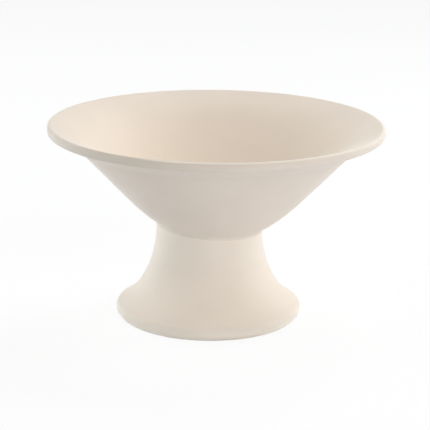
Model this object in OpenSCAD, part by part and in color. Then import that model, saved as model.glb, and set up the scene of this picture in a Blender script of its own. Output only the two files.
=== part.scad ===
// Footed compote bowl: a conical bowl with an everted rim, luted with slip onto a hollow flared foot.
// Millimetres, +Z up. The origin is the centre of the foot's standing ring, on the table.

/* [Bowl] */
// Diameter over the rim
rim_d = 254; // [230:1:280]
// Height of the lip above the table
overall_h = 150.5; // [138:0.5:170]
// Thickness of the bowl's wall and of its lip
wall_t = 6.5; // [4:0.5:9]
// Radius on the two edges of the lip's upright face
lip_round = 2.2; // [0.6:0.1:3]
// Thickness of the floor at the middle of the bowl
floor_t = 9; // [6:0.5:14]
// Width of the everted rim, from its bend out to the lip
flange_w = 22; // [16:1:30]
// Slope of the everted rim above level, in degrees
flange_angle = 24; // [12:1:32]
// Radius of the bend under the everted rim
flange_r = 12; // [4:1:24]
// Radius of the soft bend inside the rim
inner_bend_r = 60; // [20:5:80]
// Radius of the rounded lower wall
belly_r = 160; // [110:5:200]
// Slope of the wall where it leaves the turned base, in degrees
base_angle = 31; // [24:1:36]
// Diameter of the flat turned base
base_d = 68; // [56:1:80]
// How far the bowl sits to the right of the foot's axis
bowl_shift = 4.5; // [0:0.5:8]

/* [Foot] */
// Height of the bowl's turned base above the table
seat_h = 68.5; // [60:0.5:80]
// Diameter over the foot's rounded edge
foot_d = 141; // [128:1:156]
// Diameter of the collar under the bowl
collar_d = 80; // [70:1:92]
// Thickness of the foot's wall
foot_t = 9; // [6:0.5:12]
// Width of the flat ring that stands on the table
ring_w = 8; // [4:0.5:12]
// Radius that softens the inner edge of the standing ring
ring_round = 1.5; // [0.5:0.5:3]
// Radius under the foot's edge
under_r = 8; // [5:0.5:11]
// Radius over the foot's edge
over_r = 5; // [3:0.5:8]
// Lean of the foot's wall just above its edge, in degrees from upright
toe_angle = 61; // [54:1:68]
// Radius of the hollow curve just above the foot's edge
toe_r = 45; // [30:1:55]
// Radius of the long hollow curve up to the collar
flare_r = 90; // [75:1:110]

/* [Joint] */
// Thickness of the slip between bowl and collar
slip_t = 0.8; // [0.4:0.1:2]
// Diameter of the clay coil pressed into the joint from below
coil_d = 9; // [6:0.5:12]
// How deep the coil is pressed into the corner
coil_press = 1.8; // [1.4:0.1:2.4]

/* [Hidden] */
$fn = 180;
// Farthest that a drawn arc strays from the true one
arc_sag = 0.02;
// Spare height of the collar before it is cut to the bowl
trim_over = 1;
// Share of the room beside it that a curve may take before it is drawn tighter
curve_share = 0.95;
clay = "#ece0d2";
pale_clay = "#e4d6c6";

// Bowl: lip and everted rim
rim_r = rim_d / 2;
base_r = base_d / 2;
lip_r = min(lip_round, curve_share * wall_t / 2);
lip_top = [rim_r - lip_r, overall_h - lip_r];
lip_low = lip_top - [0, (wall_t - 2 * lip_r) / cos(flange_angle)];
flange_end = lip_low + polar(lip_r, flange_angle - 90);
bend_x = rim_r - flange_w;
bend = [bend_x, flange_end[1] - (flange_end[0] - bend_x) * tan(flange_angle)];

// Bowl: the lower wall is an arc from the base's edge, and the cone is its tangent up to the rim's bend.
// The arc turns outwards, with a radius below zero, where the base slopes more than the straight way to the bend.
base_edge = [base_r, seat_h];
straight = bend - base_edge;
dip = atan2(straight[1], straight[0]) - base_angle;
belly_limit = curve_share * norm(straight) / (2 * sin(abs(dip)));
belly_turn = (dip < 0 ? -1 : 1) * min(belly_r, belly_limit);
belly_c = base_edge + polar(belly_turn, base_angle + 90);
from_belly = bend - belly_c;
wall_angle = atan2(from_belly[1], from_belly[0]) + asin(belly_turn / norm(from_belly));
half_turn = (wall_angle - flange_angle) / 2;

// Bowl: the inside runs parallel to the rim and the cone, then round the floor in one arc
inner_bend = bend + polar(wall_t / cos(half_turn), flange_angle + half_turn + 90);
floor_z = seat_h + floor_t;
floor_reach = inner_bend[0] * sin(wall_angle) - (inner_bend[1] - floor_z) * cos(wall_angle);
floor_r = floor_reach / (1 - cos(wall_angle));

// Foot: centres of the two rounds of its edge and of the two hollow curves above it
foot_r = foot_d / 2;
collar_r = collar_d / 2;
under_c = [foot_r - under_r, under_r];
over_c = [foot_r - over_r, under_r];
toe_edge = over_c + polar(over_r, toe_angle);
toe_limit = curve_share * (toe_edge[0] - collar_r) / (1 - cos(toe_angle));
toe_turn = min(toe_r, toe_limit);
toe_c = toe_edge + polar(toe_turn, toe_angle);
flare_turn = acos((collar_r + flare_r - toe_c[0]) / (flare_r - toe_turn));
flare_c = toe_c + polar(flare_r - toe_turn, flare_turn);

// Foot: the inside is a straight cone up from the standing ring, tangent to a curve one wall behind the flare
collar_in = collar_r - foot_t;
ring_edge = [foot_r - under_r - ring_w, 0];
flare_to_ring = [ring_edge[0] - collar_in, flare_c[1]];
hollow_limit = curve_share * (flare_to_ring * flare_to_ring) / (2 * flare_to_ring[0]);
hollow_r = min(flare_r + foot_t, hollow_limit);
hollow_c = [collar_in + hollow_r, flare_c[1]];
to_hollow = hollow_c - ring_edge;
inner_lean = atan2(to_hollow[1], to_hollow[0]) - acos(hollow_r / norm(to_hollow));
ring_c = ring_edge + ring_round * [(1 - sin(inner_lean)) / cos(inner_lean), 1];
seam_rise = max(0, collar_r + bowl_shift - base_r) * tan(wall_angle);
collar_top = max(flare_c[1], seat_h + seam_rise) + trim_over;

// Joint: the coil's centre in the corner between collar and bowl
coil_in = coil_d / 2 - coil_press;
coil_c = [collar_in - coil_in, seat_h - coil_in];

function polar(r, a) = r * [cos(a), sin(a)];

// Points of an arc about c from angle a0 to a1
function arc(c, r, a0, a1) =
  let (n = max(1, ceil(abs(a1 - a0) / (2 * acos(1 - arc_sag / abs(r))))))
  [for (i = [0:n]) c + polar(r, a0 + (a1 - a0) * i / n)];

// The bend between cone and rim, rounded to radius r, from the cone outwards
function rim_bend(corner, r) =
  let (c = corner - polar(r * tan(half_turn), wall_angle) + polar(r, wall_angle - 90))
  arc(c, r, wall_angle + 90, flange_angle + 90);

function reverse(points) = [for (i = [len(points) - 1:-1:0]) points[i]];

// Outside of the bowl, from the middle of its base to the inner side of its lip
function bowl_outside() = concat(
  [[0, seat_h]],
  arc(belly_c, belly_turn, base_angle - 90, wall_angle - 90),
  rim_bend(bend, flange_r),
  arc(lip_low, lip_r, flange_angle - 90, 0),
  arc(lip_top, lip_r, 0, flange_angle + 90));

// Inside of the bowl, from the rim's bend down to the middle of the floor
function bowl_inside() = concat(
  reverse(rim_bend(inner_bend, inner_bend_r)),
  arc([0, floor_z + floor_r], floor_r, wall_angle - 90, -90));

function foot_outside() = concat(
  arc(under_c, under_r, -90, 0),
  arc(over_c, over_r, 0, toe_angle),
  arc(toe_c, toe_turn, 180 + toe_angle, 180 + flare_turn),
  arc(flare_c, flare_r, 180 + flare_turn, 180),
  [[collar_r, collar_top]]);

// Inside of the foot, from the top of the collar down to the standing ring
function foot_inside() = concat(
  [[collar_in, collar_top]],
  arc(hollow_c, hollow_r, 180, 180 + inner_lean),
  arc(ring_c, ring_round, 180 + inner_lean, 270));

// The bowl's outer form, filled to the brim: what the collar, the slip and the coil are shaped against
module bowl_form() {
  translate([bowl_shift, 0, 0])
    rotate_extrude()
      polygon(concat(bowl_outside(), [[0, overall_h]]));
}

module foot_section() {
  polygon(concat(foot_inside(), foot_outside()));
}

// The foot as it is thrown, with its collar still too long
module foot_blank() {
  rotate_extrude()
    foot_section();
}

module bowl() {
  color(clay)
    translate([bowl_shift, 0, 0])
      rotate_extrude()
        polygon(concat(bowl_outside(), bowl_inside()));
}

module pedestal_foot() {
  color(clay)
    difference() {
      foot_blank();
      translate([0, 0, -slip_t]) bowl_form();
    }
}

module slip_bond() {
  color(pale_clay)
    difference() {
      intersection() {
        foot_blank();
        translate([0, 0, -slip_t]) bowl_form();
      }
      bowl_form();
    }
}

module seam_coil() {
  color(pale_clay)
    difference() {
      rotate_extrude()
        difference() {
          translate(coil_c) circle(d = coil_d);
          foot_section();
        }
      bowl_form();
    }
}

bowl();
pedestal_foot();
slip_bond();
seam_coil();
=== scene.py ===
# Footed compote bowl: a thrown stoneware bowl luted to a flared foot, with its studio.
# Sizes are in metres, +Z up. The origin is the centre of the foot's standing ring, on the table.

import math

import bpy
from mathutils import Matrix, Vector


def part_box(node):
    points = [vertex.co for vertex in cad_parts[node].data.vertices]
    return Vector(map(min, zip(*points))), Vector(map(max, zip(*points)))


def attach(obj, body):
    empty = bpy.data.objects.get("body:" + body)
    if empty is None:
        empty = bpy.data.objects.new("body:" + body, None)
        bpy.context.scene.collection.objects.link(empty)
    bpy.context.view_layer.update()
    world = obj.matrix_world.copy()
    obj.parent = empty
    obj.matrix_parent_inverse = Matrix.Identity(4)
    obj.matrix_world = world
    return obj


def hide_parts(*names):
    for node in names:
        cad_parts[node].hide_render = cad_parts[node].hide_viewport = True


bl_info = {
    "name": "Footed compote bowl",
    "version": (1, 0, 0),
    "blender": (4, 5, 0),
    "location": "View3D > Sidebar > Compote",
    "description": "Models a thrown stoneware compote bowl on its flared foot, and the studio round it",
    "category": "Add Mesh",
}

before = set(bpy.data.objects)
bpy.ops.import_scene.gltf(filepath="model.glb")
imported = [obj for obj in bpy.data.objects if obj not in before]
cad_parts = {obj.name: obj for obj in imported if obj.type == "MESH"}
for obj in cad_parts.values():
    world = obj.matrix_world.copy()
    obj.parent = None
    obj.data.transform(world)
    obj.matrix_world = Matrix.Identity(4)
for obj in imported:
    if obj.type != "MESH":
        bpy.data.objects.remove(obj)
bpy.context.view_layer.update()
BOWL_LOW, BOWL_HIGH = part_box("bowl")
FOOT_LOW, FOOT_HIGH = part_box("pedestal_foot")

# A right angle
RIGHT = math.pi / 2
# Steps of a full turn on the wheel, and the farthest a drawn arc strays from the true one
TURN_STEPS = 192
ARC_SAG = 0.000008
# Vertices closer than this are one, and vertices drawn in one row are this near in height
MERGE_DISTANCE = 0.000002
ROW_HEIGHT = 0.00001
# What is coped to the bowl is first drawn flat, this far below the bowl's base: the collar and the coil
COLLAR_BELOW = 0.004
COIL_BELOW = 0.0005
# Their curves stop this far short of that level, so that no face there is a sliver
COLLAR_CLEAR = 0.001
COIL_CLEAR = 0.0002
# Points across the collar's top between its edges, and along the curve of the wiped slip
COLLAR_POINTS = 5
WIPE_POINTS = 6
# How far a thumb mark spreads, in radii of the coil
THUMB_SPREAD = 1.25

# Name of the colour that is painted on the fired clay: its own tones, with painted light and painted shade in them
TONE = "fired_tone"
# Upward part of a normal, from where a face doesn't count as such to where it counts in full; one that lies
# level still counts half as upright
FACES_UP = (0, 1 / 2)
FACES_DOWN = (0, -1 / 3)
UPRIGHT = (7 / 6, 5 / 6)
# Painted warm light, for the light bounced about inside the bowl: the inside has this share of it at the rim, and
# all of it at this depth
RIM_WARM_LIGHT = 0.7
WARM_LIGHT_DEPTH = 0.03
# Share of the painted warm light of the inside that the foot is given where it faces up
FOOT_WARM_LIGHT = 0.3
# Marks round the lip, in radians: the middle, counted from the front to the right, half of the full width, and
# the fade beyond it
SHADED_LIP = (-0.60, 0.13, 0.87)
UNLIT_EDGE = (-1.25, 0.75, 0.25)
DIMMER_EDGE = (1.30, 0.20, 0.40)
# How strongly the lip's face is painted darker as painted shade, and the width over which that sets in, outwards
# from the rounds' middle
LIP_SHADE = 0.65
LIP_SHADE_FADE = 0.0004
# How strongly the rim's underside is painted darker all round as painted shade, what the lip's painted shade adds,
# and the radii where it sets in
UNDER_SHADE = 0.12
UNDER_ADDED = 0.4
UNDER_RADII = (0.100, 0.108)
# Where on the lip's upper round the pale wear and painted highlight are strongest, the distances from there over
# which they set in, and the share of them that is spared at the right end
WEAR_HIGHLIGHT_AT = math.radians(70)
WEAR_HIGHLIGHT_REACH = (0.00135, 0.00045)
WEAR_HIGHLIGHT_SPARED = 0.6
# Heights over which the painted light on the collar sets in, its strength, and heights over which the painted light
# on the standing ring does
COLLAR_LIGHT_HEIGHTS = (0.045, 0.075)
COLLAR_LIGHT = 0.6
FLOOR_LIGHT_HEIGHTS = (0.010, 0.003)

# Width of the camera's sensor in millimetres
SENSOR_MM = 36
# The middle of the bowl, which the lamps face
LAMP_AIM = Vector((0, 0, 0.09))
# Share of plain white in what the lens sees of the floor; the rest is the lit paper with the bowl's shadow
FLOOR_WHITE = 0.9
# Soft boxes: place, width, height, and the fields of their power and their light
SOFT_BOXES = {
    "front_lamp": ((0.74, -1.24, 0.80), 1.3, 1.25, "front", "warm"),
    "left_lamp": ((-1.28, -0.22, 1.08), 1.3, 1.4, "left", "daylight"),
    "top_lamp": ((0.45, 0.78, 1.35), 0.7, 0.7, "top", "daylight"),
    "left_strip": ((-1.34, 0.78, 0.36), 1.3, 0.64, "strip", "daylight"),
    "key_lamp": ((1.26, 0.73, 0.62), 0.5, 0.85, "key", "daylight"),
}


def linear(hex_colour):
    """A hex sRGB colour as linear red, green and blue."""
    values = [int(hex_colour[i : i + 2], 16) / 255 for i in (1, 3, 5)]
    return [v / 12.92 if v <= 0.04045 else ((v + 0.055) / 1.055) ** 2.4 for v in values]


def length(name, description, default):
    """A length property in metres."""
    return bpy.props.FloatProperty(
        name=name, description=description, default=default, min=0.0, unit="LENGTH", precision=5
    )


def angle(name, description, degrees):
    """An angle property, given in degrees and kept in radians."""
    return bpy.props.FloatProperty(
        name=name, description=description, default=math.radians(degrees), subtype="ANGLE"
    )


def colour(name, description, hex_colour):
    """A colour property, given as sRGB hex and kept linear."""
    return bpy.props.FloatVectorProperty(
        name=name, description=description, default=linear(hex_colour), min=0.0, max=1.0, size=3, subtype="COLOR"
    )


def power(name, description, watts):
    """A lamp's power in watts."""
    return bpy.props.FloatProperty(name=name, description=description, default=watts, min=0.0, subtype="POWER")


class BowlSizes(bpy.types.PropertyGroup):
    """The thrown bowl and its everted rim."""

    rim_d: length("Rim", "Diameter over the rim", BOWL_HIGH.x - BOWL_LOW.x)
    overall_h: length("Height", "Height of the lip above the table", BOWL_HIGH.z)
    shift: length("Shift", "How far the bowl sits to the right of the foot's axis", (BOWL_HIGH.x + BOWL_LOW.x) / 2)
    seat_h: length("Seat height", "Height of the bowl's turned base above the table", BOWL_LOW.z)
    wall_t: length("Wall", "Thickness of the wall and of the lip", 0.0065)
    lip_round: length("Lip edges", "Radius on the two edges of the lip's upright face", 0.0022)
    floor_t: length("Floor", "Thickness of the floor at the middle", 0.009)
    flange_w: length("Rim width", "Width of the everted rim, from its bend out to the lip", 0.022)
    flange_angle: angle("Rim slope", "Slope of the everted rim above level", 24)
    flange_r: length("Outer bend", "Radius of the bend under the rim", 0.012)
    inner_bend_r: length("Inner bend", "Radius of the soft bend inside the rim", 0.060)
    belly_r: length("Belly", "Radius of the rounded lower wall", 0.160)
    base_angle: angle("Base slope", "Slope of the wall where it leaves the turned base", 31)
    base_d: length("Base", "Diameter of the flat turned base", 0.068)


class FootSizes(bpy.types.PropertyGroup):
    """The thrown foot, a hollow flared stem."""

    foot_d: length("Foot", "Diameter over the foot's rounded edge", FOOT_HIGH.x - FOOT_LOW.x)
    collar_d: length("Collar", "Diameter of the collar under the bowl", 0.080)
    foot_t: length("Wall", "Thickness of the foot's wall", 0.009)
    ring_w: length("Standing ring", "Width of the flat ring on the table", 0.008)
    ring_round: length("Ring edge", "Radius of the standing ring's inner edge", 0.0015)
    under_r: length("Under the edge", "Radius under the foot's edge", 0.008)
    over_r: length("Over the edge", "Radius over the foot's edge", 0.005)
    toe_angle: angle("Toe lean", "Lean of the wall just above the edge, from upright", 61)
    toe_r: length("Toe", "Radius of the hollow curve just above the edge", 0.045)
    flare_r: length("Flare", "Radius of the long hollow curve up to the collar", 0.090)


class JointSizes(bpy.types.PropertyGroup):
    """The slip and the clay coil that lute the bowl to the foot."""

    slip_t: length("Slip", "Thickness of the slip between bowl and collar", 0.0008)
    wipe_h: length("Wipe height", "How far the wiped slip reaches down the collar", 0.0020)
    wipe_w: length("Wipe width", "How far the wiped slip reaches out under the bowl", 0.0016)
    coil_d: length("Coil", "Diameter of the coil pressed into the joint", 0.009)
    coil_press: length("Coil press", "How deep the coil is pressed into the corner", 0.0018)
    thumb_depth: length("Thumb marks", "Depth of the thumb marks along the coil", 0.0011)
    thumbs: bpy.props.IntProperty(name="Thumb count", description="Thumb marks round the coil", default=17, min=1)


class ClayColours(bpy.types.PropertyGroup):
    """Colours of the fired clay, some of which are painted light and painted shade on it."""

    outside: colour("Outside", "Matte cream stoneware of the bowl's outside", "#E6DCD2")
    # Painted warm light: this warmer colour, on the faces inside, stands in for the light bounced about in the bowl
    inside: colour("Inside", "The same stoneware inside the bowl, where it fired warmer", "#EDDFCF")
    # Painted shade: this darker colour on the lip's upright face stands in for shade at the front left, and under
    # the rim
    lip: colour("Lip", "The lip's upright face where the fire toasted it", "#CFC6B8")
    # Worn edges: this pale colour is wear and a painted highlight on the lip's upper edge, and painted light on the
    # collar and the standing ring
    crest: colour("Worn edges", "The lip's upper edge and the standing ring, worn pale", "#F6EEE3")
    foot: colour("Foot", "The foot, of a paler lump of the same stoneware", "#E8E0D5")
    slip: colour("Slip", "Fired slip and clay of the joint", "#EAE2D7")


class StudioSizes(bpy.types.PropertyGroup):
    """Floor, lamps and camera."""

    floor_d: length("Floor", "Width of the pale floor", 8.0)
    floor: colour("Floor colour", "Pale studio paper", "#FAFAFA")
    front: power("Front lamp", "Power of the soft box in front, on the right", 14.6)
    left: power("Left lamp", "Power of the high soft box on the left", 10.2)
    top: power("Top lamp", "Power of the small, high soft box behind", 10.0)
    strip: power("Strip", "Power of the low strip box behind, on the left", 12.4)
    key: power("Key lamp", "Power of the upright soft box behind, on the right", 11.6)
    warm: colour("Warm light", "Slightly warm light of the front lamp", "#FFFBF8")
    daylight: colour("Daylight", "Slightly cool light of the other lamps", "#F9FDFF")
    camera_d: length("Camera distance", "How far the camera stands in front of the foot's axis", 1.4)
    camera_h: length("Camera height", "Height of the lens above the table", 0.4644)
    yaw: angle("Camera yaw", "How far the camera is turned to the right", 0.18)
    pitch: angle("Camera pitch", "How far the camera looks down from level", 15.39)
    roll: angle("Camera roll", "How far the camera is tipped to the left", 0.76)
    lens: bpy.props.FloatProperty(
        name="Lens", description="Focal length of the long lens", default=159.66, min=1.0, subtype="DISTANCE_CAMERA"
    )


def polar(r, a):
    """A point at radius r and angle a, as radius and height."""
    return Vector((r * math.cos(a), r * math.sin(a)))


def arc(centre, r, a0, a1):
    """Points of an arc about centre from angle a0 to a1."""
    n = max(2, math.ceil(abs(a1 - a0) / (2 * math.acos(1 - ARC_SAG / r))))
    return [centre + polar(r, a0 + (a1 - a0) * i / n) for i in range(n + 1)]


def between(a, b, count):
    """Evenly spaced points between a and b, without the two ends."""
    return [a.lerp(b, i / (count + 1)) for i in range(1, count + 1)]


class BowlForm:
    """Section of the bowl: half outlines of its outside and its inside."""

    def __init__(self, s):
        rim_r, lip_r = s.rim_d / 2, s.lip_round
        base = Vector((s.base_d / 2, s.seat_h))
        lip_top = Vector((rim_r - lip_r, s.overall_h - lip_r))
        lip_low = lip_top - Vector((0, (s.wall_t - 2 * lip_r) / math.cos(s.flange_angle)))
        flange_end = lip_low + polar(lip_r, s.flange_angle - RIGHT)
        bend_x = rim_r - s.flange_w
        bend = Vector((bend_x, flange_end.y - (flange_end.x - bend_x) * math.tan(s.flange_angle)))
        belly_c = base + polar(s.belly_r, s.base_angle + RIGHT)
        to_bend = bend - belly_c
        self.flange_angle = s.flange_angle
        self.wall_angle = math.atan2(to_bend.y, to_bend.x) + math.asin(s.belly_r / to_bend.length)
        self.half_turn = (self.wall_angle - s.flange_angle) / 2
        inner = bend + polar(s.wall_t / math.cos(self.half_turn), s.flange_angle + self.half_turn + RIGHT)
        floor_z = s.seat_h + s.floor_t
        reach = inner.x * math.sin(self.wall_angle) - (inner.y - floor_z) * math.cos(self.wall_angle)
        floor_r = reach / (1 - math.cos(self.wall_angle))
        self.base = base
        self.belly = arc(belly_c, s.belly_r, s.base_angle - RIGHT, self.wall_angle - RIGHT)
        self.bend = self.rim_bend(bend, s.flange_r)
        low_edge = arc(lip_low, lip_r, s.flange_angle - RIGHT, 0)
        top_edge = arc(lip_top, lip_r, 0, s.flange_angle + RIGHT)
        self.lip = low_edge + between(low_edge[-1], top_edge[0], count=2) + top_edge
        self.inner_bend = self.rim_bend(inner, s.inner_bend_r)[::-1]
        self.floor = arc(Vector((0, floor_z + floor_r)), floor_r, self.wall_angle - RIGHT, -RIGHT)

    def rim_bend(self, corner, r):
        """The bend between cone and rim, from the cone outwards."""
        centre = corner - polar(r * math.tan(self.half_turn), self.wall_angle) + polar(r, self.wall_angle - RIGHT)
        return arc(centre, r, self.wall_angle + RIGHT, self.flange_angle + RIGHT)

    def outside(self):
        """From the middle of the base up to the bend of the rim."""
        middle = Vector((0, self.base.y))
        points = [middle] + between(middle, self.base, count=3) + self.belly
        return points + between(self.belly[-1], self.bend[0], count=12) + self.bend

    def section(self):
        """The whole wall, from the middle of the base over the lip to the middle of the floor."""
        points = self.outside() + between(self.bend[-1], self.lip[0], count=5) + self.lip
        points += between(self.lip[-1], self.inner_bend[0], count=3) + self.inner_bend
        return points + between(self.inner_bend[-1], self.floor[0], count=8) + self.floor


class FootForm:
    """Section of the foot: half outlines of its inside and its outside, with the collar's top still flat."""

    def __init__(self, s, seat_h):
        foot_r, collar_r = s.foot_d / 2, s.collar_d / 2
        self.collar_r, self.collar_in = collar_r, collar_r - s.foot_t
        self.top = seat_h - COLLAR_BELOW
        under_c = Vector((foot_r - s.under_r, s.under_r))
        over_c = Vector((foot_r - s.over_r, s.under_r))
        toe_c = over_c + polar(s.over_r + s.toe_r, s.toe_angle)
        turn = math.acos((collar_r + s.flare_r - toe_c.x) / (s.flare_r - s.toe_r))
        flare_c = toe_c + polar(s.flare_r - s.toe_r, turn)
        ring_edge = Vector((foot_r - s.under_r - s.ring_w, 0))
        to_flare = flare_c - ring_edge
        lean = math.atan2(to_flare.y, to_flare.x) - math.acos((s.flare_r + s.foot_t) / to_flare.length)
        ring_c = ring_edge + s.ring_round * Vector(((1 - math.sin(lean)) / math.cos(lean), 1))
        hollow = self.below_top(arc(flare_c, s.flare_r + s.foot_t, math.pi, math.pi + lean))
        ring = arc(ring_c, s.ring_round, math.pi + lean, 3 * RIGHT)
        edge = arc(under_c, s.under_r, -RIGHT, 0) + arc(over_c, s.over_r, 0, s.toe_angle)[1:]
        toe = arc(toe_c, s.toe_r, math.pi + s.toe_angle, math.pi + turn)[1:]
        flare = self.below_top(arc(flare_c, s.flare_r, math.pi + turn, math.pi)[1:])
        self.inside = hollow + between(hollow[-1], ring[0], count=8) + ring
        self.outside = between(ring[-1], edge[0], count=2) + edge + toe + flare

    def below_top(self, points):
        """The points that lie clear below the collar's top."""
        return [p for p in points if p.y < self.top - COLLAR_CLEAR]

    def collar_top(self):
        """Points across the collar's top, from inside to outside."""
        low_in, low_out = Vector((self.collar_in, self.top)), Vector((self.collar_r, self.top))
        return [low_in] + between(low_in, low_out, COLLAR_POINTS) + [low_out]

    def section(self):
        """The whole wall: down the inside, round the edge, up the outside and back across the collar's top."""
        inner, *rest = self.collar_top()
        return [inner] + self.inside + self.outside + rest[::-1]


def start_piece(name):
    """A new object of one vertex at the origin, alone and in edit mode."""
    bpy.ops.object.select_all(action="DESELECT")
    bpy.ops.mesh.primitive_plane_add(size=0.001)
    piece = bpy.context.object
    piece.name = name
    piece.data.name = name
    bpy.ops.object.mode_set(mode="EDIT")
    bpy.ops.mesh.select_mode(type="VERT")
    bpy.ops.mesh.select_all(action="SELECT")
    bpy.ops.mesh.merge(type="CENTER")
    return piece


def turn_on_wheel(name, section, axis_x, closed):
    """Draws a half section by extruding a vertex along it, then turns it about the upright axis at axis_x."""
    piece = start_piece(name)
    path = [Vector((axis_x + p.x, 0, p.y)) for p in section]
    if closed:
        path.append(path[0])
    bpy.ops.transform.translate(value=path[0])
    for a, b in zip(path, path[1:]):
        bpy.ops.mesh.extrude_region_move(TRANSFORM_OT_translate={"value": b - a})
    bpy.ops.mesh.select_all(action="SELECT")
    bpy.ops.mesh.spin(steps=TURN_STEPS, angle=2 * math.pi, center=(axis_x, 0, 0), axis=(0, 0, 1))
    bpy.ops.mesh.select_all(action="SELECT")
    bpy.ops.mesh.remove_doubles(threshold=MERGE_DISTANCE)
    bpy.ops.mesh.normals_make_consistent(inside=False)
    bpy.ops.object.mode_set(mode="OBJECT")
    return piece


def make_active(piece):
    """Selects one piece alone."""
    bpy.ops.object.select_all(action="DESELECT")
    piece.select_set(True)
    bpy.context.view_layer.objects.active = piece


def smooth(piece, degrees=35):
    """Smooth shading, with edges sharper than this left crisp."""
    make_active(piece)
    bpy.ops.object.shade_smooth_by_angle(angle=math.radians(degrees))


def group(piece, name, test):
    """Makes a vertex group of the vertices whose place passes the test, and gives its name."""
    made = piece.vertex_groups.new(name=name)
    made.add([v.index for v in piece.data.vertices if test(v.co)], 1.0, "REPLACE")
    return made.name


def cope(piece, group_name, bowl, drop):
    """Raises a group of vertices straight up until it meets the bowl's underside, lowered by drop."""
    form = turn_on_wheel("seat form", BowlForm(bowl).outside(), bowl.shift, closed=False)
    make_active(form)
    bpy.ops.object.mode_set(mode="EDIT")
    bpy.ops.mesh.select_all(action="SELECT")
    bpy.ops.transform.translate(value=(0, 0, -drop))
    bpy.ops.object.mode_set(mode="OBJECT")
    wrap = piece.modifiers.new("Cope", "SHRINKWRAP")
    wrap.target = form
    wrap.vertex_group = group_name
    wrap.wrap_method = "PROJECT"
    wrap.use_project_z = True
    wrap.use_positive_direction = True
    wrap.use_negative_direction = False
    index = piece.vertex_groups[group_name].index
    flat = {v.index: v.co.z for v in piece.data.vertices if index in [g.group for g in v.groups]}
    make_active(piece)
    bpy.ops.object.modifier_apply(modifier=wrap.name)
    bpy.data.objects.remove(form)
    if any(piece.data.vertices[i].co.z <= z for i, z in flat.items()):
        raise RuntimeError("%s: part of its %s has no bowl above it" % (piece.name, group_name))


def press_thumbs(piece, centre, r, count, depth):
    """Dents the free side of the coil, one thumb beside the next."""
    make_active(piece)
    bpy.ops.object.mode_set(mode="EDIT")
    bpy.ops.mesh.select_mode(type="VERT")
    for i in range(count):
        a = 2 * math.pi * i / count
        outward = Vector((math.cos(a), math.sin(a), 0))
        inwards = (outward + Vector((0, 0, 1))).normalized()
        spot = outward * centre.x + Vector((0, 0, centre.y)) - inwards * r
        bpy.ops.mesh.select_all(action="DESELECT")
        bpy.ops.object.mode_set(mode="OBJECT")
        nearest = min(piece.data.vertices, key=lambda v: (v.co - spot).length)
        nearest.select = True
        bpy.ops.object.mode_set(mode="EDIT")
        bpy.ops.transform.translate(
            value=inwards * depth,
            use_proportional_edit=True,
            proportional_edit_falloff="SMOOTH",
            proportional_size=r * THUMB_SPREAD,
        )
    bpy.ops.object.mode_set(mode="OBJECT")


def ramp(value, none, full):
    """Share from 0 to 1 that a value has come from none to full."""
    return min(1.0, max(0.0, (value - none) / (full - none)))


def mark(turn, middle, flat, fade):
    """Share of a mark at an angle round the lip: full within flat of its middle, then fading."""
    return ramp(abs(turn - middle), flat + fade, flat)


def paint(piece, tone):
    """Paints every vertex with the tone for its place and its normal."""
    tones = piece.data.attributes.new(TONE, "FLOAT_COLOR", "POINT")
    for v, painted in zip(piece.data.vertices, tones.data):
        painted.color = (*tone(v.co, v.normal), 1.0)


def dress(piece, material, node):
    """Gives a finished piece its material and its place in the frame."""
    piece.data.materials.append(material)
    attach(piece, "root")
    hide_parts(node)


def add_node(tree, kind, settings=None, inputs=None):
    """Adds a node, sets its fields and gives its sockets values or links."""
    made = tree.nodes.new(kind)
    for field, value in (settings or {}).items():
        setattr(made, field, value)
    for socket, value in (inputs or {}).items():
        if isinstance(value, bpy.types.NodeSocket):
            tree.links.new(value, made.inputs[socket])
        else:
            made.inputs[socket].default_value = value
    return made


def new_material(name):
    """A bare node material and its tree."""
    made = bpy.data.materials.new(name)
    made.use_nodes = True
    made.node_tree.nodes.clear()
    return made, made.node_tree


def per_metre(size_mm):
    """Scale of a pattern whose marks are this many millimetres across."""
    return 1000 / size_mm


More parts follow.
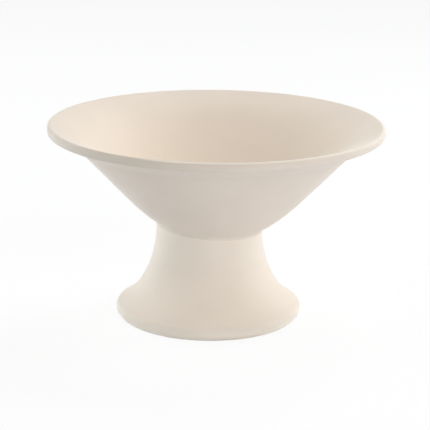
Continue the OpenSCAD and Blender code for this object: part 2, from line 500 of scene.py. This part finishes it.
def stoneware(name, centre_x, ring_mm):
    """Cream stoneware, thrown, sponged smooth and fired without a glaze: matte, in the painted tone, faintly
    clouded, with a fine tooth, which pales the clay where it is seen edge on, and the last rings of the fingers."""
    material, tree = new_material(name)
    place = add_node(tree, "ShaderNodeTexCoord").outputs["Object"]
    body = add_node(tree, "ShaderNodeAttribute", {"attribute_name": TONE})
    # Clouds about 40 mm across, where the clay was sponged more or less
    clouds = add_node(
        tree,
        "ShaderNodeTexNoise",
        inputs={"Vector": place, "Scale": per_metre(40), "Detail": 3.0, "Roughness": 0.5},
    )
    level = add_node(
        tree, "ShaderNodeMapRange", inputs={"Value": clouds.outputs["Fac"], "To Min": 0.96, "To Max": 1.04}
    )
    mottle = add_node(
        tree,
        "ShaderNodeMix",
        {"data_type": "RGBA", "blend_type": "MULTIPLY"},
        {"Factor": 1.0, "A": body.outputs["Color"], "B": level.outputs["Result"]},
    )
    # Fine tooth of the clay, grains about 0.8 mm, drawn coarser than real grit so that it shows
    grain = add_node(
        tree,
        "ShaderNodeTexNoise",
        inputs={"Vector": place, "Scale": per_metre(0.8), "Detail": 2.0, "Roughness": 0.6},
    )
    rough = add_node(
        tree, "ShaderNodeMapRange", inputs={"Value": grain.outputs["Fac"], "To Min": 0.62, "To Max": 0.78}
    )
    # Throwing rings climb the wall as a shallow wave along its height, and wander by up to 4 mm over some 56 mm
    axis = add_node(tree, "ShaderNodeMapping", inputs={"Vector": place, "Location": (-centre_x, 0.0, 0.0)})
    wander = add_node(tree, "ShaderNodeTexNoise", inputs={"Vector": place, "Scale": per_metre(55.6), "Detail": 1.0})
    parts = add_node(tree, "ShaderNodeSeparateXYZ", inputs={"Vector": axis.outputs["Vector"]})
    drift = add_node(
        tree,
        "ShaderNodeMath",
        {"operation": "MULTIPLY_ADD"},
        {0: wander.outputs["Fac"], 1: 0.004, 2: parts.outputs["Z"]},
    )
    turns = add_node(
        tree,
        "ShaderNodeMath",
        {"operation": "MULTIPLY"},
        {0: drift.outputs[0], 1: 2 * math.pi * per_metre(ring_mm)},
    )
    rings = add_node(tree, "ShaderNodeMath", {"operation": "SINE"}, {0: turns.outputs[0]})
    ring_bump = add_node(
        tree, "ShaderNodeBump", inputs={"Height": rings.outputs[0], "Strength": 0.25, "Distance": 0.00003}
    )
    bump = add_node(
        tree,
        "ShaderNodeBump",
        inputs={
            "Height": grain.outputs["Fac"],
            "Strength": 0.35,
            "Distance": 0.00012,
            "Normal": ring_bump.outputs["Normal"],
        },
    )
    shader = add_node(
        tree,
        "ShaderNodeBsdfPrincipled",
        inputs={
            "Base Color": mottle.outputs["Result"],
            "Roughness": rough.outputs["Result"],
            "IOR": 1.5,
            "Specular IOR Level": 0.3,
            "Sheen Weight": 0.25,
            "Sheen Roughness": 0.3,
            "Normal": bump.outputs["Normal"],
        },
    )
    add_node(tree, "ShaderNodeOutputMaterial", inputs={"Surface": shader.outputs["BSDF"]})
    return material


def fired_slip(name, body):
    """Slip and soft clay of the joint, dabbed on and fired: matte, a shade paler than the bowl, with the smears of
    the fingertips."""
    material, tree = new_material(name)
    place = add_node(tree, "ShaderNodeTexCoord").outputs["Object"]
    # Smears about 8 mm long
    smears = add_node(
        tree,
        "ShaderNodeTexNoise",
        inputs={"Vector": place, "Scale": per_metre(8), "Detail": 3.0, "Distortion": 0.6},
    )
    level = add_node(
        tree, "ShaderNodeMapRange", inputs={"Value": smears.outputs["Fac"], "To Min": 0.93, "To Max": 1.05}
    )
    tint = add_node(
        tree,
        "ShaderNodeMix",
        {"data_type": "RGBA", "blend_type": "MULTIPLY"},
        {"Factor": 1.0, "A": (*body, 1.0), "B": level.outputs["Result"]},
    )
    bump = add_node(
        tree, "ShaderNodeBump", inputs={"Height": smears.outputs["Fac"], "Strength": 0.4, "Distance": 0.0004}
    )
    shader = add_node(
        tree,
        "ShaderNodeBsdfPrincipled",
        inputs={
            "Base Color": tint.outputs["Result"],
            "Roughness": 0.8,
            "IOR": 1.5,
            "Specular IOR Level": 0.25,
            "Normal": bump.outputs["Normal"],
        },
    )
    add_node(tree, "ShaderNodeOutputMaterial", inputs={"Surface": shader.outputs["BSDF"]})
    return material


class MakeBowl(bpy.types.Operator):
    """Throw the bowl: draw its wall and turn it on the wheel."""

    bl_idname = "compote.bowl"
    bl_label = "Bowl"
    bl_options = {"REGISTER", "UNDO"}

    def execute(self, context):
        s, c = context.scene.compote_bowl, context.scene.compote_clay
        piece = turn_on_wheel("thrown_bowl", BowlForm(s).section(), s.shift, closed=False)
        smooth(piece)
        axis, lip_x = Vector((s.shift, 0)), s.rim_d / 2 - s.lip_round
        edge = Vector((lip_x, s.overall_h - s.lip_round)) + polar(s.lip_round, WEAR_HIGHLIGHT_AT)
        outside, inside, face, crest = (Vector(tone) for tone in (c.outside, c.inside, c.lip, c.crest))

        def tone(place, normal):
            r = (place.xy - axis).length
            turn = math.atan2(place.x - s.shift, -place.y)
            # Painted warm light: faces that look up are painted warmer, most of all deep inside, for the light
            # bounced about in the bowl
            deep = ramp(place.z, s.overall_h, s.overall_h - WARM_LIGHT_DEPTH)
            painted_warm_light = ramp(normal.z, *FACES_UP) * (RIM_WARM_LIGHT + (1 - RIM_WARM_LIGHT) * deep)
            # Painted shade: the lip's upright face is painted darker at the front left, and the rim's underside a
            # little, all round and more at the front left
            lip_shade_share = LIP_SHADE * mark(turn, *SHADED_LIP)
            shaded = ramp(r, lip_x, lip_x + LIP_SHADE_FADE) * ramp(abs(normal.z), *UPRIGHT) * lip_shade_share
            # Painted shade under the rim, on faces that look down
            under = ramp(r, *UNDER_RADII) * ramp(normal.z, *FACES_DOWN) * (UNDER_SHADE + UNDER_ADDED * lip_shade_share)
            # The lip's upper edge is painted pale, as wear and as a painted highlight, but not along the shaded
            # left, and less at the right end
            worn_and_lit = ramp((Vector((r, place.z)) - edge).length, *WEAR_HIGHLIGHT_REACH)
            worn_and_lit *= (1 - mark(turn, *UNLIT_EDGE)) * (1 - WEAR_HIGHLIGHT_SPARED * mark(turn, *DIMMER_EDGE))
            return outside.lerp(inside, painted_warm_light).lerp(face, max(shaded, under)).lerp(crest, worn_and_lit)

        paint(piece, tone)
        material = stoneware("cream_stoneware_bowl", s.shift, ring_mm=7.0)
        dress(piece, material, "bowl")
        return {"FINISHED"}


class MakeFoot(bpy.types.Operator):
    """Throw the foot and cope its collar to the bowl's underside."""

    bl_idname = "compote.foot"
    bl_label = "Foot"
    bl_options = {"REGISTER", "UNDO"}

    def execute(self, context):
        scene = context.scene
        bowl, joint, c = scene.compote_bowl, scene.compote_joint, scene.compote_clay
        form = FootForm(scene.compote_foot, bowl.seat_h)
        piece = turn_on_wheel("flared_foot", form.section(), 0.0, closed=True)
        top = group(piece, "collar top", lambda p: p.z > form.top - ROW_HEIGHT)
        cope(piece, top, bowl, joint.slip_t)
        smooth(piece)
        clay, warm, pale = Vector(c.foot), Vector(c.inside), Vector(c.crest)

        def tone(place, normal):
            # Painted warm light: faces of the foot that look up are painted a little warmer
            body = clay.lerp(warm, FOOT_WARM_LIGHT * ramp(normal.z, *FACES_UP))
            # Painted light: the collar is painted paler up towards the bowl, under its overhang, and the standing
            # ring and the edge above it paler, for light bounced up from the floor
            collar_lit = COLLAR_LIGHT * ramp(place.z, *COLLAR_LIGHT_HEIGHTS)
            floor_lit = ramp(place.z, *FLOOR_LIGHT_HEIGHTS)
            return body.lerp(pale, max(collar_lit, floor_lit))

        paint(piece, tone)
        material = stoneware("cream_stoneware_foot", 0.0, ring_mm=6.0)
        dress(piece, material, "pedestal_foot")
        return {"FINISHED"}


class MakeSlip(bpy.types.Operator):
    """Lay the ring of slip between the collar and the bowl."""

    bl_idname = "compote.slip"
    bl_label = "Slip"
    bl_options = {"REGISTER", "UNDO"}

    def execute(self, context):
        scene = context.scene
        bowl, joint, c = scene.compote_bowl, scene.compote_joint, scene.compote_clay
        form = FootForm(scene.compote_foot, bowl.seat_h)
        # Drawn flat first: the bowl's underside would be at this level, and each point lies a drop below it
        level = form.top + joint.slip_t
        low = form.collar_top()
        wipe = []
        for i in range(WIPE_POINTS):
            u = i / (WIPE_POINTS - 1)
            drop = (joint.slip_t + joint.wipe_h) * (1 - u) ** 2
            wipe.append(Vector((form.collar_r + joint.wipe_w * u * u, level - drop)))
        high = [Vector((p.x, level)) for p in reversed(low)]
        section = low + wipe + high
        piece = turn_on_wheel("slip_joint", section, 0.0, closed=True)
        # Each row of points is raised by itself, up to its own drop below the bowl
        heights = sorted({round(p.y, 7) for p in section})
        rows = [group(piece, "row %d" % i, lambda p: abs(p.z - z) < ROW_HEIGHT) for i, z in enumerate(heights)]
        for row, z in zip(rows, heights):
            cope(piece, row, bowl, level - z)
        smooth(piece)
        dress(piece, fired_slip("fired_slip_joint", c.slip), "slip_bond")
        return {"FINISHED"}


class MakeCoil(bpy.types.Operator):
    """Press a coil of clay into the joint from below, with thumb marks."""

    bl_idname = "compote.coil"
    bl_label = "Coil"
    bl_options = {"REGISTER", "UNDO"}

    def execute(self, context):
        scene = context.scene
        bowl, joint, c = scene.compote_bowl, scene.compote_joint, scene.compote_clay
        form = FootForm(scene.compote_foot, bowl.seat_h)
        r = joint.coil_d / 2
        back = r - joint.coil_press
        reach = math.acos(back / r)
        centre = Vector((form.collar_in - back, bowl.seat_h - back))
        free = arc(centre, r, -reach, reach - 3 * RIGHT)
        # The back of the coil lies a little under the bowl's base, and is then pressed up against it
        level = bowl.seat_h - COIL_BELOW
        edge, corner = Vector((free[-1].x, level)), Vector((form.collar_in, level))
        free = [p for p in free if p.y < level - COIL_CLEAR]
        section = free + [edge] + between(edge, corner, count=4) + [corner] + between(corner, free[0], count=4)
        piece = turn_on_wheel("pressed_coil", section, 0.0, closed=True)
        press_thumbs(piece, centre, r, joint.thumbs, joint.thumb_depth)
        cope(piece, group(piece, "back", lambda p: p.z > level - ROW_HEIGHT), bowl, 0.0)
        smooth(piece, degrees=50)
        dress(piece, fired_slip("fired_clay_coil", c.slip), "seam_coil")
        return {"FINISHED"}


def seen_plainly(tree):
    """1 for the rays of the lens, of mirrors and of clear glass, and 0 for the rays that light the bowl."""
    path = add_node(tree, "ShaderNodeLightPath")
    seen = add_node(
        tree,
        "ShaderNodeMath",
        {"operation": "MAXIMUM"},
        {0: path.outputs["Is Camera Ray"], 1: path.outputs["Is Glossy Ray"]},
    )
    clear = add_node(
        tree,
        "ShaderNodeMath",
        {"operation": "MAXIMUM"},
        {0: seen.outputs[0], 1: path.outputs["Is Transmission Ray"]},
    )
    return clear.outputs[0]


def paper(tint):
    """White studio paper, matte: the lens sees it as white, and it keeps part of the bowl's shadow."""
    material, tree = new_material("white_studio_paper")
    whiteness = add_node(tree, "ShaderNodeMath", {"operation": "MULTIPLY"}, {0: seen_plainly(tree), 1: FLOOR_WHITE})
    lit = add_node(tree, "ShaderNodeBsdfDiffuse", inputs={"Color": (*tint, 1.0)})
    white = add_node(tree, "ShaderNodeEmission", inputs={"Strength": 1.0})
    both = add_node(
        tree, "ShaderNodeMixShader", inputs={0: whiteness.outputs[0], 1: lit.outputs[0], 2: white.outputs[0]}
    )
    add_node(tree, "ShaderNodeOutputMaterial", inputs={"Surface": both.outputs[0]})
    return material


def white_room(scene):
    """White walls to the lens, which leave the lighting to the lamps."""
    world = bpy.data.worlds.new("white_room")
    scene.world = world
    world.use_nodes = True
    tree = world.node_tree
    tree.nodes.clear()
    sky = add_node(
        tree, "ShaderNodeBackground", inputs={"Color": (1.0, 1.0, 1.0, 1.0), "Strength": seen_plainly(tree)}
    )
    add_node(tree, "ShaderNodeOutputWorld", inputs={"Surface": sky.outputs[0]})


def lamp(scene, name, place, width, height, watts, tint):
    """A soft box that faces the middle of the bowl."""
    data = bpy.data.lights.new(name, "AREA")
    data.shape = "RECTANGLE"
    data.size = width
    data.size_y = height
    data.energy = watts
    data.color = tint
    made = bpy.data.objects.new(name, data)
    made.location = place
    made.rotation_mode = "QUATERNION"
    made.rotation_quaternion = (LAMP_AIM - made.location).to_track_quat("-Z", "Y")
    scene.collection.objects.link(made)


def camera(scene, s):
    """A long lens in front of the bowl that looks a little down into it."""
    ahead = Vector((math.sin(s.yaw) * math.cos(s.pitch), math.cos(s.yaw) * math.cos(s.pitch), -math.sin(s.pitch)))
    right = Vector((math.cos(s.yaw), -math.sin(s.yaw), 0))
    up = right.cross(ahead)
    side = math.cos(s.roll) * right + math.sin(s.roll) * up
    head = -math.sin(s.roll) * right + math.cos(s.roll) * up
    data = bpy.data.cameras.new("camera")
    data.sensor_width = SENSOR_MM
    data.lens = s.lens
    made = bpy.data.objects.new("camera", data)
    turn = Matrix((side, head, -ahead)).transposed().to_4x4()
    made.matrix_world = Matrix.Translation((0, -s.camera_d, s.camera_h)) @ turn
    scene.collection.objects.link(made)
    scene.camera = made
    scene.view_settings.view_transform = "Standard"


class MakeStudio(bpy.types.Operator):
    """Lay the floor, hang the lamps and set up the camera."""

    bl_idname = "compote.studio"
    bl_label = "Studio"
    bl_options = {"REGISTER", "UNDO"}

    def execute(self, context):
        scene = context.scene
        s = scene.compote_studio
        bpy.ops.object.select_all(action="DESELECT")
        bpy.ops.mesh.primitive_plane_add(size=s.floor_d)
        floor = context.object
        floor.name = "studio_floor"
        floor.data.materials.append(paper(s.floor))
        white_room(scene)
        for name, (place, width, height, watts, light) in SOFT_BOXES.items():
            lamp(scene, name, place, width, height, getattr(s, watts), getattr(s, light))
        camera(scene, s)
        return {"FINISHED"}


class CompotePanel(bpy.types.Panel):
    """Lists the pieces of the bowl and their sizes."""

    bl_idname = "VIEW3D_PT_compote"
    bl_label = "Footed compote bowl"
    bl_space_type = "VIEW_3D"
    bl_region_type = "UI"
    bl_category = "Compote"

    def draw(self, context):
        for name, (steps, groups) in PANEL_ROWS.items():
            box = self.layout.box()
            box.label(text=name)
            for step in steps:
                box.operator(step.bl_idname)
            for attribute in groups:
                for field in GROUPS[attribute].__annotations__:
                    box.prop(getattr(context.scene, attribute), field)


GROUPS = {
    "compote_bowl": BowlSizes,
    "compote_foot": FootSizes,
    "compote_joint": JointSizes,
    "compote_clay": ClayColours,
    "compote_studio": StudioSizes,
}
OPERATORS = [MakeBowl, MakeFoot, MakeSlip, MakeCoil, MakeStudio]
PANEL_ROWS = {
    "Bowl": ([MakeBowl], ["compote_bowl"]),
    "Foot": ([MakeFoot], ["compote_foot"]),
    "Joint": ([MakeSlip, MakeCoil], ["compote_joint"]),
    "Clay": ([], ["compote_clay"]),
    "Studio": ([MakeStudio], ["compote_studio"]),
}


def register():
    """Adds the classes, and the sizes to the scene."""
    for cls in [*GROUPS.values(), *OPERATORS, CompotePanel]:
        bpy.utils.register_class(cls)
    for name, cls in GROUPS.items():
        setattr(bpy.types.Scene, name, bpy.props.PointerProperty(type=cls))


def unregister():
    """Takes the sizes and the classes away again."""
    for name in GROUPS:
        delattr(bpy.types.Scene, name)
    for cls in reversed([*GROUPS.values(), *OPERATORS, CompotePanel]):
        bpy.utils.unregister_class(cls)


def main():
    """Makes the pieces and the studio."""
    register()
    bpy.ops.compote.bowl()
    bpy.ops.compote.foot()
    bpy.ops.compote.slip()
    bpy.ops.compote.coil()
    bpy.ops.compote.studio()


if __name__ == "__main__":
    main()
